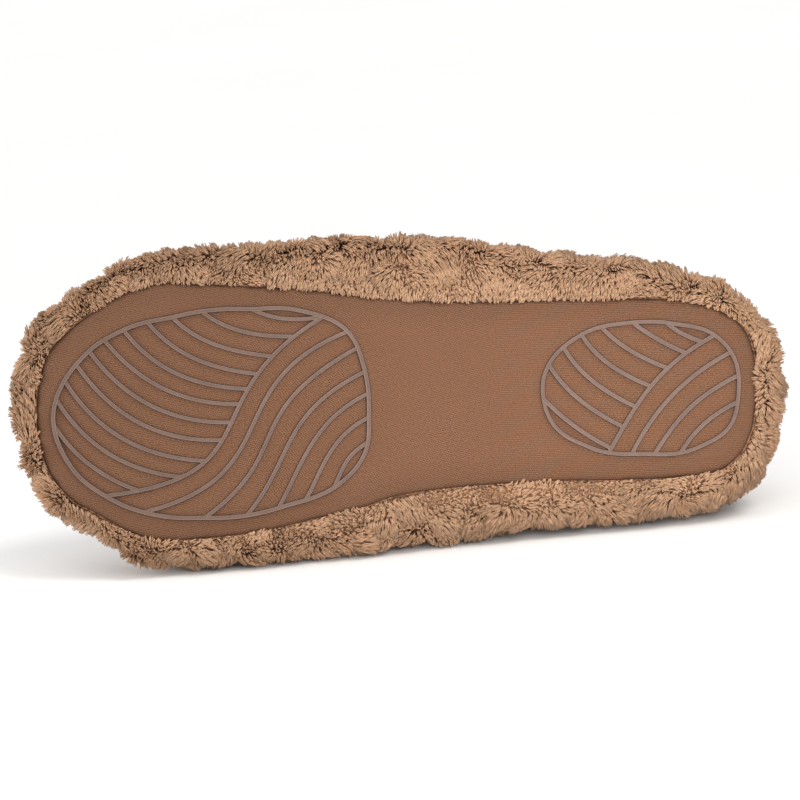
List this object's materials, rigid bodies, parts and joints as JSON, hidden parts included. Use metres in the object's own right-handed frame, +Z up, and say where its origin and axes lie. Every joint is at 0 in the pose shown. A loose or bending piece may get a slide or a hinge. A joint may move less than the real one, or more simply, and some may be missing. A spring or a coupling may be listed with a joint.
{
  "type": "ballerina slipper",
  "caption": "Low-cut plush ballerina slipper for a left foot, lying on its inner side, with a textile-faced sole and raised rubber grips.",
  "frame": {"origin": "centre of the bounding box, on the floor that the shoe lies on", "axes": "-X towards the toe, +Z up from the shoe's inner side to its outer side, -Y the way that the sole faces"},
  "size_m": [0.2654, 0.07, 0.1103],
  "materials": {
    "plush": "matte",
    "sole_textile": "matte",
    "footbed": "matte",
    "grip_print": "matte"
  },
  "bodies": {
    "root": {"upper": "plush", "outsole": "sole_textile", "insole": "footbed", "forefoot_grip": "grip_print", "heel_grip": "grip_print"}
  },
  "joints": []
}
